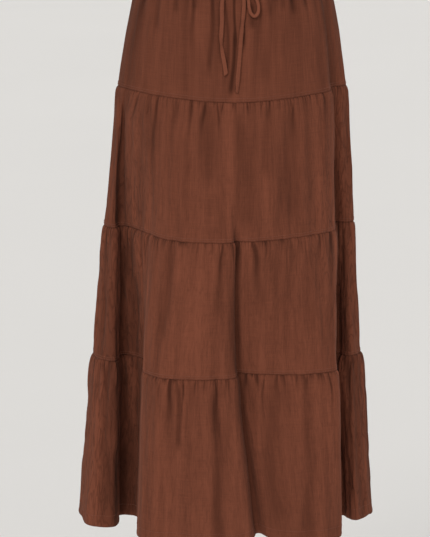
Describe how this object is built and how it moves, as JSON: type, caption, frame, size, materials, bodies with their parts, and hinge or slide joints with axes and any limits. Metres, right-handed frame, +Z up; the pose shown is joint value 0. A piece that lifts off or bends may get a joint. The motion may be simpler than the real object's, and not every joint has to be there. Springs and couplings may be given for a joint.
{
  "type": "maxi skirt",
  "caption": "Long gathered tiered skirt with an elastic waistband and a narrow tie knotted in a bow, standing in its worn, hollow form.",
  "frame": {"origin": "centre of the waistband, halfway up its height, where the wearer holds the skirt", "axes": "+Z up through the waist, +X to the right of someone facing the front, -Y the front with the bow"},
  "size_m": [0.4928, 0.3425, 0.9448],
  "materials": {
    "cloth": "matt crinkled plain weave of linen and viscose, chocolate brown",
    "tie_cloth": "the same cloth as a narrow turned and pressed strip"
  },
  "bodies": {
    "root": {"waistband": "cloth", "tier_1_front": "cloth", "tier_1_back": "cloth", "tier_2_front": "cloth", "tier_2_back": "cloth", "tier_3_front": "cloth", "tier_3_back": "cloth", "tier_4_front": "cloth", "tier_4_back": "cloth", "tie_knot": "tie_cloth", "tie_tail_left": "tie_cloth", "tie_tail_right": "tie_cloth", "tie_loop_left": "tie_cloth", "tie_loop_right": "tie_cloth"}
  },
  "joints": []
}
